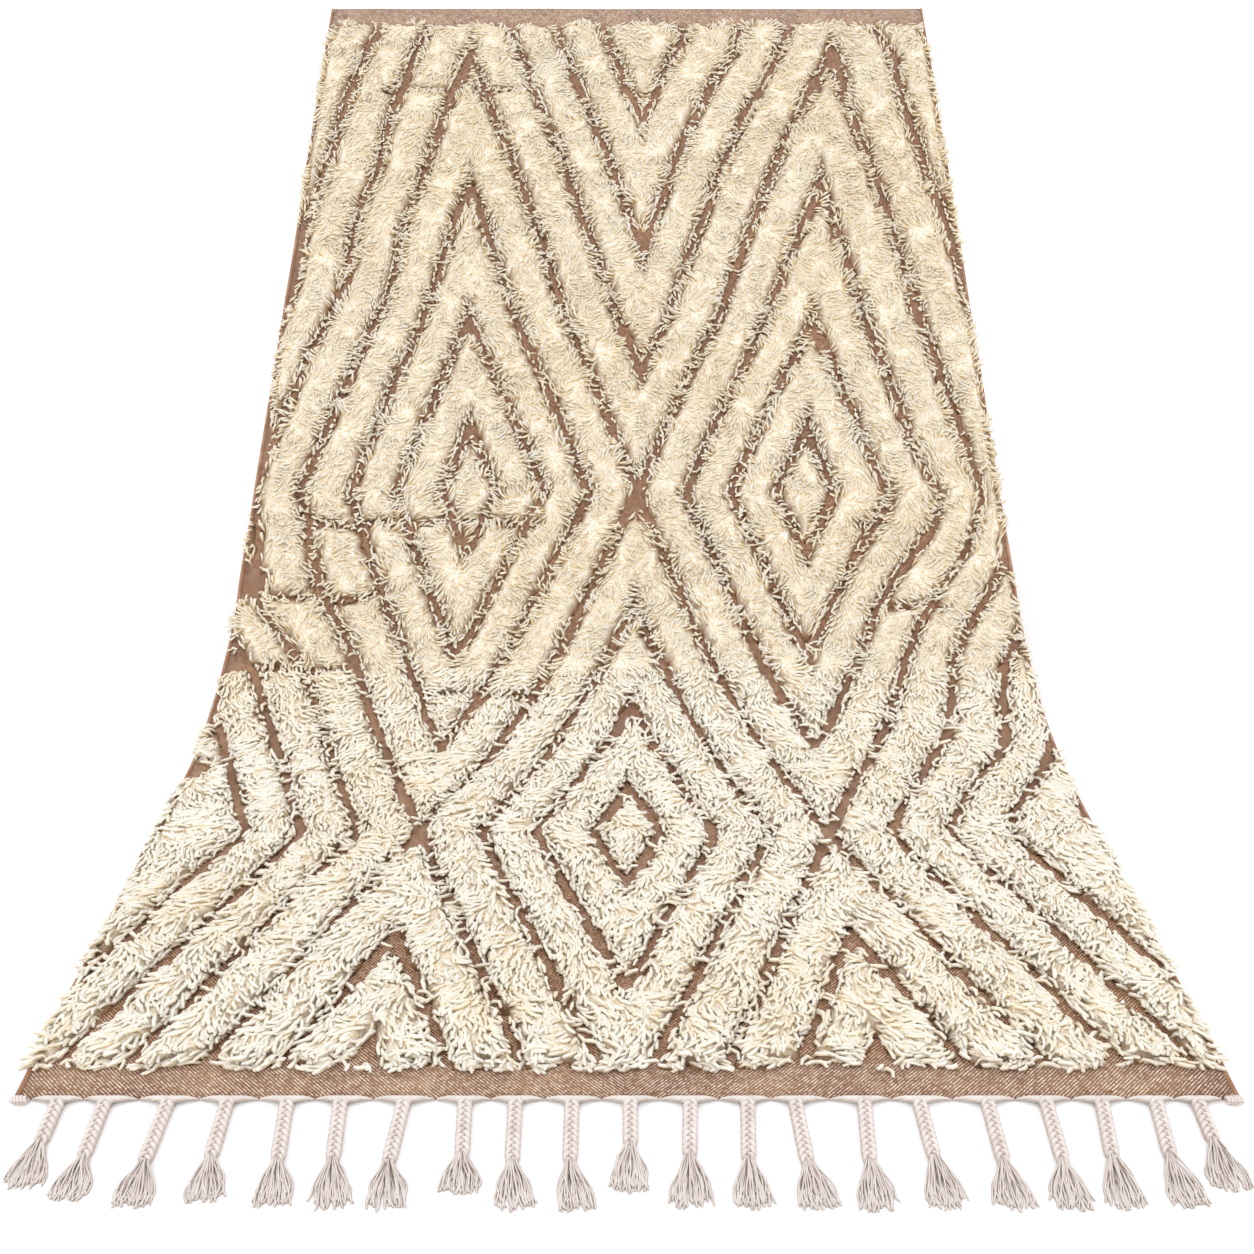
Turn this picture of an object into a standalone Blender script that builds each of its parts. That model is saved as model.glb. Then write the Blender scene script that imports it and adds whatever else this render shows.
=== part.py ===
"""A hand-knotted Beni Ourain rug, shown with its lower end on the floor and its upper end drawn back and up.

Metres, +Z up. The pile faces up and towards -Y, the braided fringe lies at the front (-Y), and the top edge is
the rearmost and highest part. The rug is drawn flat first, as u across and s up the cloth from the front hem,
and every point is then carried onto the shape in which the rug lies.
"""

import math
import random

import bmesh
import bpy
from mathutils import Matrix, Vector, noise
from mathutils.geometry import delaunay_2d_cdt

MM = 0.001
GAP = 0.3 * MM                 # left between pieces that touch

# The cloth as it would be measured flat
WIDTH = 1.500
LENGTH = 3.030
GROUND = 4 * MM                # woven ground, at the bare hems and under the channels
PILE = 27 * MM                 # height of the knotted pile, from the underside
FRONT_HEM = 0.052              # bare ground below the pile
TOP_HEM = 0.068                # bare ground above the pile
HEM_RAGGED = 9 * MM            # how far the edge of the pile wanders at the hems
LUMP = 6 * MM                  # how far locks stand above or sink below the pile's mean height
LUMP_SCALE = 23                # lumps to the metre
SHOULDER = 5 * MM              # drop of the pile beside a channel and at the selvedges

# How it lies, seen from the side
FLOOR_RUN = 0.750
BEND_RADIUS = 0.840
BEND_ANGLE = math.radians(34.5)
BEND_END = FLOOR_RUN + BEND_RADIUS * BEND_ANGLE
BEND_STEPS = 6

# The pattern: nested diamonds on a lattice. Row t = 1, 2, 3 and column a = -2 ... 2 are the diamonds' centres,
# and the weaver let both wander, so each row has its height and each column its line.
ROWS = ((-1, -1.20), (0, -0.30), (1, 0.60), (2, 1.50), (2.44, 1.97), (2.71, 2.40), (3, 2.85), (4, 4.40))
COLUMNS = {
    -2: ((0, -0.66), (1, -0.66), (2, -0.655), (2.45, -0.71), (3, -0.85)),
    -1: ((0, -0.33), (1, -0.33), (2, -0.315), (2.45, -0.345), (3, -0.39)),
    0: ((0, 0.00), (1, 0.00), (2, 0.02), (2.45, 0.035), (3, 0.035)),
    1: ((0, 0.32), (1, 0.32), (2, 0.355), (2.45, 0.405), (3, 0.50)),
    2: ((0, 0.66), (1, 0.66), (2, 0.70), (2.45, 0.82), (3, 0.97)),
}
CENTRES = ((-1, 0), (1, 0), (-2, 1), (0, 1), (2, 1), (-1, 2), (1, 2), (-2, 3), (0, 3), (2, 3))
SIDE_COLUMN = 2                       # its diamonds are cut by the selvedge, and their lines run on to it
TOP_ROW = 3                           # its diamonds are cut by the top hem, and their arms run on to it
RINGS = (0.167, 0.44, 0.71, 1.0)      # half-widths of a diamond's channels, in lattice steps
STEEPNESS = 3.2                       # lattice steps per metre, square to a channel
CHANNEL = 22 * MM                     # a channel's width between the lips of the pile
CHANNEL_FLOOR = 8 * MM                # ground and the feet of the locks that lean over it
LOCK_PITCH = 0.105                    # lattice steps between the points along a channel
HEM_PITCH = 0.040                     # between the points along the ragged end of the pile

# Locks of pile that stand out at the rim
SIDE_LOCKS = 28                # on each selvedge
HEM_LOCKS = 22                 # at each hem
LOCK_WIDTH = 13 * MM
LOCK_REACH = 11 * MM           # past the selvedge
LOCK_OVERHANG = 20 * MM        # past the pile's end, over the bare hem

# The fringe
HEADER_DEPTH = 12 * MM         # a gather of warp ends, at its braid
HEADER_HEIGHT = 8 * MM
HEADER_NECK = 4 * MM           # the same gather where it thins out, depth and height
BRAID_WIDTH = 19 * MM
BRAID_HEIGHT = 11 * MM
BRAID_TURN = 16 * MM           # one left and one right strand of the plait
FAN_NECK = 17 * MM             # from the end of the plait to where the yarns part
FAN_NECK_WIDTH = 26 * MM
FAN_WIDTH = 54 * MM
YARNS = 8
YARN = 4.6 * MM
KNOB = (25 * MM, 13 * MM, 12 * MM)

# One row for each tassel, from left to right, in millimetres: where its braid starts, where the braid ends
# and where its loose end lies, across the rug; then the length of the braid and of the loose end.
TASSELS = (
    # start, end, tip, braid, loose
    (-693, -690, -689, 66, 74),
    (-636, -632, -633, 91, 66),
    (-559, -559, -558, 100, 68),
    (-487, -484, -477, 91, 70),
    (-414, -405, -398, 96, 72),
    (-349, -341, -328, 96, 75),
    (-272, -276, -269, 99, 73),
    (-197, -192, -189, 88, 60),
    (-136, -133, -122, 99, 73),
    (-67, -66, -54, 99, 76),
    (4, 4, 3, 70, 75),
    (77, 73, 74, 88, 80),
    (147, 141, 142, 96, 74),
    (205, 209, 219, 100, 71),
    (289, 281, 281, 99, 75),
    (356, 357, 361, 91, 79),
    (439, 436, 437, 98, 74),
    (510, 505, 500, 98, 74),
    (578, 564, 560, 92, 79),
    (644, 632, 635, 89, 79),
    (695, 691, 690, 64, 80),
)

WOOL = ("undyed wool pile", (0.80, 0.74, 0.60, 1.0), 0.95)
COTTON = ("cotton warp yarn", (0.84, 0.80, 0.77, 1.0), 0.9)


def clear_scene():
    for thing in list(bpy.data.objects):
        bpy.data.objects.remove(thing)


def material(name, colour, roughness):
    made = bpy.data.materials.get(name) or bpy.data.materials.new(name)
    made.use_nodes = True
    shader = made.node_tree.nodes["Principled BSDF"]
    shader.inputs["Base Color"].default_value = colour
    shader.inputs["Roughness"].default_value = roughness
    shader.inputs["Metallic"].default_value = 0.0
    return made


def add_object(name, bm, finish):
    bmesh.ops.recalc_face_normals(bm, faces=bm.faces)
    mesh = bpy.data.meshes.new(name)
    bm.to_mesh(mesh)
    bm.free()
    mesh.materials.append(material(*finish))
    made = bpy.data.objects.new(name, mesh)
    bpy.context.scene.collection.objects.link(made)
    return made


def along(table, x):
    """Read a table of (x, value) rows at x, on straight lines between its rows and level past its ends."""
    for (x0, v0), (x1, v1) in zip(table, table[1:]):
        if x <= x1:
            return v0 + (v1 - v0) * max(0.0, (x - x0) / (x1 - x0))
    return table[-1][1]


def lie(u, s, h):
    """The point u across and s up the cloth, h above its underside, where the rug lies."""
    turn = min(max(s - FLOOR_RUN, 0.0) / BEND_RADIUS, BEND_ANGLE)
    rise = max(s - BEND_END, 0.0)
    y = min(s, FLOOR_RUN) + BEND_RADIUS * math.sin(turn) + rise * math.cos(turn)
    z = BEND_RADIUS * (1 - math.cos(turn)) + rise * math.sin(turn)
    return Vector((u, y - h * math.sin(turn), z + h * math.cos(turn)))


# ---------------------------------------------------------------- the pattern

def lattice_to_cloth(a, t):
    """Flat position of lattice column a and row t."""
    s = along(ROWS, t)
    lines = [along(COLUMNS[column], t) for column in sorted(COLUMNS)]
    left = min(max(math.floor(a) + 2, 0), len(lines) - 2)
    return lines[left] + (a + 2 - left) * (lines[left + 1] - lines[left]), s


def cloth_to_lattice(u, s):
    """Lattice column and row at a flat position."""
    t = along([(height, row) for row, height in ROWS], s)
    lines = [along(COLUMNS[column], t) for column in sorted(COLUMNS)]
    left = max([0] + [i for i in range(len(lines) - 1) if lines[i] <= u])
    return left - 2 + (u - lines[left]) / (lines[left + 1] - lines[left]), t


def ring_value(u, s):
    """How far a flat position is from the middle of its diamond, in lattice steps: 1 on the diamond's border."""
    a, t = cloth_to_lattice(u, s)
    values = []
    for column, row in CENTRES:
        across = SIDE_COLUMN - abs(a) if abs(column) == SIDE_COLUMN else abs(a - column)
        if column * a >= 0 or abs(column) < SIDE_COLUMN:
            values.append(across + (TOP_ROW - t if row == TOP_ROW else abs(t - row)))
    return min(values)


def from_channel(u, s):
    """Distance to the middle of the nearest channel."""
    value = ring_value(u, s)
    return min(abs(value - ring) for ring in RINGS) / STEEPNESS


def front_edge(u):
    return FRONT_HEM + HEM_RAGGED * noise.noise(Vector((u * 38, 0.3, 0)))


def top_edge(u):
    return LENGTH - TOP_HEM + HEM_RAGGED * noise.noise(Vector((u * 34, 7.3, 0)))


def pile_top(u, s):
    """Height of the rug's upper side: bare ground at the hems and in the channels, lumpy pile between them."""
    inside = min(s - front_edge(u), top_edge(u) - s)
    if inside < HEM_RAGGED / 2:
        return GROUND
    away = from_channel(u, s)
    if away < CHANNEL / 4:
        return CHANNEL_FLOOR
    to_side = WIDTH / 2 - abs(u)
    shoulder = SHOULDER if min(away - CHANNEL / 2, to_side, inside - HEM_RAGGED) < 4 * MM else 0.0
    return PILE + LUMP * noise.noise(Vector((u * LUMP_SCALE, s * LUMP_SCALE, 2.0))) - shoulder


def diamond_line(column, row, value):
    """Corners of one line round a diamond, in lattice steps. Cut diamonds have open lines that run off the rug."""
    past = 0.1
    side = 1 if column < 0 else -1
    if abs(column) == SIDE_COLUMN and row == TOP_ROW:
        return ((column + side * (value + past), row + past), (column + side * (value - 1), row - 1))
    if abs(column) == SIDE_COLUMN:
        edge = column + side * (value - 1)
        return ((edge, row + 1), (column + side * value, row), (edge, row - 1))
    if row == TOP_ROW:
        reach = value + past
        return ((column - reach, row + past), (column, row - value), (column + reach, row + past))
    return ((column, row + value), (column + value, row), (column, row - value), (column - value, row),
            (column, row + value))


def ring_lines():
    """Flat lines along the floor and both lips of each channel, and along the crown of the pile between two."""
    lip = CHANNEL / 2 * STEEPNESS
    crowns = [(inner + outer) / 2 for inner, outer in zip(RINGS, RINGS[1:])]
    values = sorted([ring + step for ring in RINGS[:-1] for step in (-lip, 0.0, lip)] + crowns + [RINGS[-1] - lip])
    for column, row in CENTRES:
        closed = abs(column) < SIDE_COLUMN and row < TOP_ROW
        for value in values + ([RINGS[-1]] if closed and row % 2 == 0 else []):
            corners = diamond_line(column, row, value)
            line = []
            for (a0, t0), (a1, t1) in zip(corners, corners[1:]):
                steps = max(1, round(abs(t1 - t0) / LOCK_PITCH))
                for step in range(steps):
                    share = step / steps
                    line.append(lattice_to_cloth(a0 + (a1 - a0) * share, t0 + (t1 - t0) * share))
            line.append(lattice_to_cloth(*corners[-1]))
            yield line


def inside_field(point):
    u, s = point
    return abs(u) <= WIDTH / 2 and front_edge(u) <= s <= top_edge(u)


def border_point(inner, outer):
    """Where the step from a point in the pile to one outside it crosses the border of the pile."""
    for _ in range(20):
        middle = ((inner[0] + outer[0]) / 2, (inner[1] + outer[1]) / 2)
        inner, outer = (middle, outer) if inside_field(middle) else (inner, middle)
    return inner


def clipped(line):
    """The steps of a line that lie in the pile, each cut at the pile's border."""
    for start, end in zip(line, line[1:]):
        start_in, end_in = inside_field(start), inside_field(end)
        if start_in and end_in:
            yield start, end
        elif start_in:
            yield start, border_point(start, end)
        elif end_in:
            yield border_point(end, start), end


# ---------------------------------------------------------------- the rug itself

def stations():
    """Heights up the cloth at which the underside is creased: the floor, the bend in short steps, and the rise."""
    bend = [FLOOR_RUN + (BEND_END - FLOOR_RUN) * step / BEND_STEPS for step in range(BEND_STEPS + 1)]
    return [0.0] + bend + [LENGTH]


def flat_drawing():
    """Points and joining lines of the rug drawn flat: its outline, the ragged ends of the pile, the pattern."""
    points, lines = [], []

    def draw(start, end):
        points.extend((start, end))
        lines.append((len(points) - 2, len(points) - 1))

    half = WIDTH / 2
    heights = stations()
    for low, high in zip(heights, heights[1:]):
        draw((-half, low), (-half, high))
        draw((half, low), (half, high))
    draw((-half, 0.0), (half, 0.0))
    draw((-half, LENGTH), (half, LENGTH))
    steps = round(WIDTH / HEM_PITCH)
    across = [-half + WIDTH * step / steps for step in range(steps + 1)]
    for edge, inward in ((front_edge, 1), (top_edge, -1)):
        for depth in (0.0, HEM_RAGGED):
            for left, right in zip(across, across[1:]):
                draw((left, edge(left) + inward * depth), (right, edge(right) + inward * depth))
    for line in ring_lines():
        for start, end in clipped(line):
            draw(start, end)
    return points, lines


def rug_mesh():
    points, lines = flat_drawing()
    flat, _, faces, *_ = delaunay_2d_cdt([Vector(p) for p in points], lines, [], 0, 0.02 * MM)
    half = WIDTH / 2
    bm = bmesh.new()
    tops = [bm.verts.new(lie(u, s, pile_top(u, s))) for u, s in flat]
    place = dict(zip(tops, flat))
    for face in faces:
        middle = sum((flat[i] for i in face), Vector((0, 0))) / len(face)
        if abs(middle.x) < half and 0 < middle.y < LENGTH:
            bm.faces.new([tops[i] for i in face])
    bmesh.ops.delete(bm, geom=[v for v in bm.verts if not v.link_faces], context="VERTS")

    rim = [edge for edge in bm.edges if edge.is_boundary]
    below = {}
    for edge in rim:
        for vert in edge.verts:
            if vert not in below:
                below[vert] = bm.verts.new(lie(place[vert].x, place[vert].y, 0.0))
    for edge in rim:
        one, two = edge.verts
        bm.faces.new((one, two, below[two], below[one]))

    def rank(vert):
        return place[vert].y, place[vert].x

    near = 0.1 * MM
    left = sorted((v for v in below if place[v].x < near - half), key=rank)
    right = sorted((v for v in below if place[v].x > half - near), key=rank)
    heights = stations()
    for low, high in zip(heights, heights[1:]):
        up = [below[v] for v in right if low - near < place[v].y < high + near]
        down = [below[v] for v in reversed(left) if low - near < place[v].y < high + near]
        bm.faces.new(up + down)
    bmesh.ops.triangulate(bm, faces=bm.faces)
    return bm


def prism(bm, sections):
    """A closed run of sections with the same number of corners each, listed from one end to the other."""
    rings = [[bm.verts.new(corner) for corner in section] for section in sections]
    count = len(rings[0])
    for near, far in zip(rings, rings[1:]):
        for i in range(count):
            j = (i + 1) % count
            bm.faces.new((near[i], near[j], far[j], far[i]))
    bm.faces.new(rings[0][::-1])
    bm.faces.new(rings[-1])


def rim_lock(bm, root, tip, droop, thick):
    """One thick curl of pile from inside the slab to beyond its rim; root and tip are (u, s, h)."""
    sections = []
    for share, width in ((0.0, 0.9), (0.62, 1.0), (1.0, 0.5)):
        middle = [a + (b - a) * share for a, b in zip(root, tip)]
        middle[2] -= droop * share * share
        along_u, along_s = tip[0] - root[0], tip[1] - root[1]
        scale = thick * width / 2 / math.hypot(along_u, along_s)
        side_u, side_s = -along_s * scale, along_u * scale
        rise = thick * width * 0.36
        sections.append([lie(middle[0] + k * side_u, middle[1] + k * side_s, middle[2] + m * rise)
                         for k, m in ((-1, -1), (1, -1), (1, 1), (-1, 1))])
    prism(bm, sections)


def locks_mesh():
    """Locks that stand out all round the pile, as bodies of their own that the rug is joined to."""
    rng = random.Random(11)
    bm = bmesh.new()
    half = WIDTH / 2
    low, high = FRONT_HEM + 2 * LOCK_WIDTH, LENGTH - TOP_HEM - 2 * LOCK_WIDTH
    for side in (-1, 1):
        for k in range(SIDE_LOCKS):
            s = low + (high - low) * (k + 0.5) / SIDE_LOCKS
            root = (side * (half - 12 * MM), s, rng.uniform(13, 15) * MM)
            tip = (side * (half + LOCK_REACH * (1.0 if k % 5 == 2 else rng.uniform(0.55, 0.95))),
                   s + rng.uniform(-16, 16) * MM, root[2] + rng.uniform(-2, 4) * MM)
            rim_lock(bm, root, tip, 3 * MM, LOCK_WIDTH)
    for edge, out in ((front_edge, -1), (top_edge, 1)):
        for k in range(HEM_LOCKS):
            u = -half + WIDTH * (k + 0.5) / HEM_LOCKS + rng.uniform(-8, 8) * MM
            root = (u, edge(u) - out * 22 * MM, rng.uniform(15, 17) * MM)
            tip = (u + rng.uniform(-10, 10) * MM, edge(u) + out * LOCK_OVERHANG * rng.uniform(0.6, 1.0),
                   rng.uniform(12, 15) * MM)
            rim_lock(bm, root, tip, 2 * MM, LOCK_WIDTH)
    return bm


# ---------------------------------------------------------------- the fringe

def header_mesh():
    """The warp ends that run along the front hem to the nearest braid: one flat lens of yarn at each braid."""
    seat = BRAID_WIDTH * 0.55
    starts = [row[0] * MM for row in TASSELS]
    ends = WIDTH / 2 - KNOB[0] + 4 * MM - GAP
    joints = [-ends] + [(a + b) / 2 for a, b in zip(starts, starts[1:])] + [ends]
    profile = []
    for left, start, right in zip(joints, starts, joints[1:]):
        profile += [(left, HEADER_NECK, HEADER_NECK), (start - seat, HEADER_DEPTH, HEADER_HEIGHT),
                    (start + seat, HEADER_DEPTH, HEADER_HEIGHT)]
    profile.append((ends, HEADER_NECK, HEADER_NECK))
    bm = bmesh.new()
    prism(bm, [((x, -GAP, 0.0), (x, -GAP - depth, 0.0), (x, -GAP - depth, 0.6 * height), (x, -GAP, height))
               for x, depth, height in profile])
    return bm


def knob_mesh(side):
    """The selvedge cord's end, wrapped with cotton, in front of a corner of the cloth."""
    length, depth, height = KNOB
    centre = side * (WIDTH / 2 + 4 * MM - length / 2)
    bm = bmesh.new()
    sections = []
    for share, size in ((-0.5, 0.5), (-0.3, 0.95), (-0.1, 0.82), (0.1, 1.0), (0.3, 0.82), (0.5, 0.6)):
        x = centre + share * length
        front, top = -GAP - depth * size, height * size
        sections.append(((x, -GAP, 0.0), (x, front, 0.0), (x, front - 1 * MM, 0.45 * top),
                         (x, 0.7 * front, top), (x, -GAP - 0.2 * depth, top)))
    prism(bm, sections)
    return bm


def plait_sections(start, end, length):
    """Five-cornered sections of a flat three-strand plait: each strand in turn swells one side of it."""
    turns = max(4, 2 * round(length / BRAID_TURN))
    direction = (end - start).normalized()
    square = Vector((-direction.y, direction.x, 0.0))
    sections = []
    for k in range(turns + 1):
        middle = start.lerp(end, k / turns)
        side = square if k else Vector((1.0, 0.0, 0.0))
        swell = (0.42, 0.58) if k % 2 else (0.58, 0.42)
        left, right = -BRAID_WIDTH * swell[0] * side, BRAID_WIDTH * swell[1] * side
        lean = (swell[1] - swell[0]) * 0.5 * BRAID_WIDTH * side
        ridge = BRAID_HEIGHT * (0.86 if k % 2 else 1.0)
        sections.append([middle + 0.8 * left, middle + 0.8 * right,
                         middle + right + Vector((0, 0, 0.5 * BRAID_HEIGHT)),
                         middle + lean + Vector((0, 0, ridge)),
                         middle + left + Vector((0, 0, 0.5 * BRAID_HEIGHT))])
    return sections


def tassel_mesh(row, rng):
    """A plait that lies on the floor and opens into loose yarns, which stand apart and share its end."""
    start_x, end_x, tip_x, braid, loose = (value * MM for value in row)
    start = Vector((start_x, -2 * GAP - HEADER_DEPTH, 0.0))
    end = Vector((end_x, start.y - math.sqrt(braid ** 2 - (end_x - start_x) ** 2), 0.0))
    down = Vector((tip_x - end_x, -math.sqrt(loose ** 2 - (tip_x - end_x) ** 2), 0.0)).normalized()
    side = Vector((-down.y, down.x, 0.0))

    bm = bmesh.new()
    rings = [[bm.verts.new(corner) for corner in section] for section in plait_sections(start, end, braid)]
    for near, far in zip(rings, rings[1:]):
        for i in range(5):
            j = (i + 1) % 5
            bm.faces.new((near[i], near[j], far[j], far[i]))
    bm.faces.new(rings[0][::-1])

    def row_of(distance, width, height):
        """Corners between the yarns, from left to right: on the floor and above it."""
        shares = [(k / YARNS - 0.5) * width for k in range(YARNS + 1)]
        foot = [end + down * (distance - 4 * abs(x) ** 2 / FAN_WIDTH) + side * x for x in shares]
        return foot, [point + Vector((0, 0, height)) for point in foot]

    floor_left, floor_right, right, ridge, left = rings[-1]
    foot, top = ([bm.verts.new(p) for p in points] for points in row_of(FAN_NECK, FAN_NECK_WIDTH, 5 * MM))
    bm.faces.new([floor_left] + foot + [floor_right])
    bm.faces.new((floor_left, left, top[0], foot[0]))
    bm.faces.new((right, floor_right, foot[-1], top[-1]))
    bm.faces.new((left, ridge, top[0]))
    bm.faces.new((ridge, right, top[-1]))
    for one, two in zip(top, top[1:]):
        bm.faces.new((ridge, two, one))

    for k in range(YARNS):
        share = (k + 0.5) / YARNS - 0.5
        near = (foot[k], foot[k + 1], top[k + 1], top[k])
        for distance, spread, high in ((0.6, 0.62, YARN), (1.0, 1.0, 0.7 * YARN)):
            wander = rng.uniform(-0.8, 0.8) * MM
            fan = FAN_NECK_WIDTH + (FAN_WIDTH - FAN_NECK_WIDTH) * spread
            reach = FAN_NECK + (loose - FAN_NECK) * distance
            if distance == 1.0:
                reach -= rng.uniform(0.0, 9.0) * MM
            centre = end + down * (reach - 12 * MM * (2 * share) ** 2 * spread) + side * (share * fan + wander)
            half_yarn = side * min(YARN, fan / YARNS - 1.8 * MM) / 2
            raised = Vector((0, 0, high))
            far = [bm.verts.new(p) for p in (centre - half_yarn, centre + half_yarn,
                                             centre + half_yarn * 0.7 + raised, centre - half_yarn * 0.7 + raised)]
            for i in range(4):
                j = (i + 1) % 4
                bm.faces.new((near[i], near[j], far[j], far[i]))
            near = far
        bm.faces.new(near)
    return bm


# ---------------------------------------------------------------- the whole rug

def build():
    clear_scene()
    rug = add_object("rug", rug_mesh(), WOOL)
    locks = add_object("rim_locks", locks_mesh(), WOOL)
    locks.hide_render = True
    locks.display_type = "WIRE"
    join = rug.modifiers.new("rim locks", "BOOLEAN")
    join.operation = "UNION"
    join.solver = "EXACT"
    join.object = locks

    pieces = [rug, locks, add_object("warp_header", header_mesh(), COTTON)]
    for name, side in (("corner_knob_left", -1), ("corner_knob_right", 1)):
        pieces.append(add_object(name, knob_mesh(side), COTTON))
    rng = random.Random(5)
    for number, row in enumerate(TASSELS, 1):
        pieces.append(add_object(f"tassel_{number:02d}", tassel_mesh(row, rng), COTTON))

    # The origin is on the floor under the middle of the rug's whole length and width.
    front = min((corner[1] for piece in pieces for corner in piece.bound_box))
    back = lie(0.0, LENGTH, 0.0).y
    centre = bpy.data.objects.new("beni_ourain_rug", None)
    bpy.context.scene.collection.objects.link(centre)
    for piece in pieces:
        piece.parent = centre
    centre.location = (0.0, -(front + back) / 2, 0.0)
    print(f"front {front:.4f} back {back:.4f} shift {centre.location.y:.4f}")


build()
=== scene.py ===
# %% [markdown]
# # A hand-knotted Beni Ourain rug
# The rug is a woven ground of brown wool with thick ropes of undyed wool knotted through it. The knots
# leave narrow lines of bare ground, and those lines draw nested diamonds. The warp ends are plaited into
# a fringe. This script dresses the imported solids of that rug: it makes the cloth, each lock of the pile,
# the plaits and the loose cotton yarns as real geometry, gives each its finish, and lights them in a
# plain pale studio.

# %% Load the frame
import math
import random
from functools import partial

import bpy
import numpy as np
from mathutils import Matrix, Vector


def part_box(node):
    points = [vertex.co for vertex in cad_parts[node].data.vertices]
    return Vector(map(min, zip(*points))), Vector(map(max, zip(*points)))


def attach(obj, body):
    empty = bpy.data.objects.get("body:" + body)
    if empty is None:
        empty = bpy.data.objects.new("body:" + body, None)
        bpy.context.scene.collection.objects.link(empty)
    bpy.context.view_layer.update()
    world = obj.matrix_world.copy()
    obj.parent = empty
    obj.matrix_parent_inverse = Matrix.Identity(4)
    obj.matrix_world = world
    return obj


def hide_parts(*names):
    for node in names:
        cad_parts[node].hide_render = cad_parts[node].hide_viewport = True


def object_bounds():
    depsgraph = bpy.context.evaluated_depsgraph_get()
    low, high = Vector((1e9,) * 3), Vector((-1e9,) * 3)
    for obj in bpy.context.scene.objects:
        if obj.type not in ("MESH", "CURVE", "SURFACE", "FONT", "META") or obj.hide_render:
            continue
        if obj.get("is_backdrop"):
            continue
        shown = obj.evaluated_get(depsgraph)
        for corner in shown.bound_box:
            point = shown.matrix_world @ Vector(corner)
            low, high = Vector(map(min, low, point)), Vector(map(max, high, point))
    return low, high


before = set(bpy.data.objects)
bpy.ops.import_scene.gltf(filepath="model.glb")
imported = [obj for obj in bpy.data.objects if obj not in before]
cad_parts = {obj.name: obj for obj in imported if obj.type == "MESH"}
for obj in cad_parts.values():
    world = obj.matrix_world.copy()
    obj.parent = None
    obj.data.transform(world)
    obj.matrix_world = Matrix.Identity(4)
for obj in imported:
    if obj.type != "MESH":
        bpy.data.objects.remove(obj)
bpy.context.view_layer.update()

# %% [markdown]
# ## The cloth, flat
# A weaver measures a rug on the floor, so the rug is drawn that way first: `u` metres across from the
# middle, and `s` metres up from the front hem. `h` is the height above the underside. All later steps use
# these three.

# %% Sizes of the cloth
MM = 0.001
GAP = 0.3 * MM                  # left between pieces that touch
WIDTH, LENGTH = 1.500, 3.030
HALF = WIDTH / 2
GROUND = 4 * MM                 # thickness of the woven ground
FRONT_HEM, TOP_HEM = 0.052, 0.068
PILE = 27 * MM                  # mean height of the pile, from the underside

FRINGE_DEPTH = 12 * MM          # the gathered warp ends, in front of the hem
front_hem_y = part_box("warp_header")[1].y + GAP

# %% [markdown]
# ## How the rug lies
# The lower end is flat on the floor, then the rug bends on a wide arc and rises straight to the edge that
# holds it. One function carries flat points to that shape. It takes whole arrays, because the pile has
# hundreds of thousands of points, and numpy moves them all in one step.

# %% Carry flat points onto the lying shape
FLOOR_RUN = 0.750
BEND_RADIUS = 0.840
BEND_ANGLE = math.radians(34.5)
BEND_END = FLOOR_RUN + BEND_RADIUS * BEND_ANGLE


def lie(u, s, h):
    """Points in the frame, for arrays of flat positions."""
    turn = np.clip((s - FLOOR_RUN) / BEND_RADIUS, 0.0, BEND_ANGLE)
    rise = np.maximum(s - BEND_END, 0.0)
    y = np.minimum(s, FLOOR_RUN) + BEND_RADIUS * np.sin(turn) + rise * np.cos(turn)
    z = BEND_RADIUS * (1 - np.cos(turn)) + rise * np.sin(turn)
    return np.stack([u + 0 * s, front_hem_y + y - h * np.sin(turn), z + h * np.cos(turn)], axis=-1)


print("top corner", lie(np.array(HALF), np.array(LENGTH), np.array(PILE)).round(4))

# %% [markdown]
# ## The pattern
# The weaver counts knots on a lattice: rows 1, 2 and 3 and columns -2 to 2 are the middles of the
# diamonds, and a hand-woven rug lets both wander. The tables give where each row and column runs on this
# rug. Round each middle the bare lines are a fixed number of lattice steps away, so one number, the ring
# value, finds them all.

# %% Lattice of the diamonds
ROWS = ((-1, -1.20), (0, -0.30), (1, 0.60), (2, 1.50), (2.44, 1.97), (2.71, 2.40), (3, 2.85), (4, 4.40))
COLUMNS = {
    -2: ((0, -0.66), (1, -0.66), (2, -0.655), (2.45, -0.71), (3, -0.85)),
    -1: ((0, -0.33), (1, -0.33), (2, -0.315), (2.45, -0.345), (3, -0.39)),
    0: ((0, 0.00), (1, 0.00), (2, 0.02), (2.45, 0.035), (3, 0.035)),
    1: ((0, 0.32), (1, 0.32), (2, 0.355), (2.45, 0.405), (3, 0.50)),
    2: ((0, 0.66), (1, 0.66), (2, 0.70), (2.45, 0.82), (3, 0.97)),
}
CENTRES = ((-1, 0), (1, 0), (-2, 1), (0, 1), (2, 1), (-1, 2), (1, 2), (-2, 3), (0, 3), (2, 3))
SIDE_COLUMN, TOP_ROW = 2, 3
RINGS = (0.167, 0.44, 0.71, 1.0)
STEEPNESS = 3.2                 # lattice steps per metre, square to a line
NUDGES = (                      # where the weaver strayed: across, up the cloth, and how far to the right
    (-0.59, 2.45, 0.018), (-0.60, 2.10, 0.022), (0.26, 2.87, 0.023), (0.62, 2.85, 0.022),
    (0.60, 1.43, 0.040), (0.66, 0.87, 0.032), (0.63, 1.13, -0.022), (-0.71, 1.25, -0.050),
)
NUDGE_REACH = 0.13


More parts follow.
